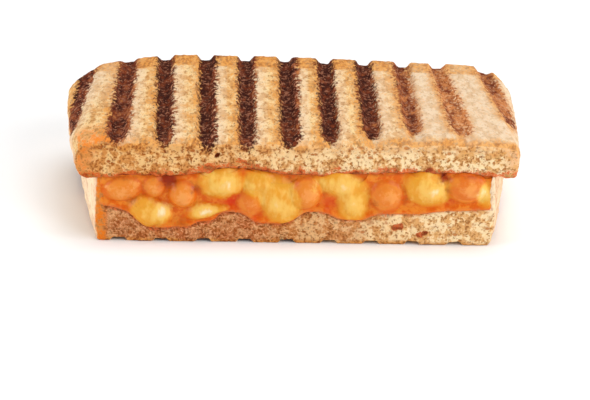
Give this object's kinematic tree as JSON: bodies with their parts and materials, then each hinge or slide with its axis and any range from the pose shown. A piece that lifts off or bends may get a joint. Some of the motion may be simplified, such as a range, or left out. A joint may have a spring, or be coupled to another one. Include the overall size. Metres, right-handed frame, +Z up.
{
  "type": "beans and cheese toastie",
  "caption": "Cut piece of grilled toastie: pressed, grill-marked bread slices around baked beans in sauce and melted cheese, which show at the cut face.",
  "frame": {"origin": "middle of the underside's outline, on the surface the piece rests on", "axes": "+X along the length, left to right as seen from the cut face; +Y from the cut face to the back crust; +Z up"},
  "size_m": [0.1284, 0.0657, 0.0318],
  "materials": {
    "toasted_bread": "dry golden toasted bread, with dark brown grill stripes and an open pale crumb where it is cut",
    "bean_sauce": "wet orange beans in glossy tomato sauce",
    "melted_cheese": "soft glossy yellow cheese, melted"
  },
  "bodies": {
    "root": {"top_slice": "toasted_bread", "bottom_slice": "toasted_bread", "bean_filling": "bean_sauce", "cheese_layer": "melted_cheese", "cheese_lump_left": "melted_cheese", "cheese_lump_middle": "melted_cheese"}
  },
  "joints": []
}
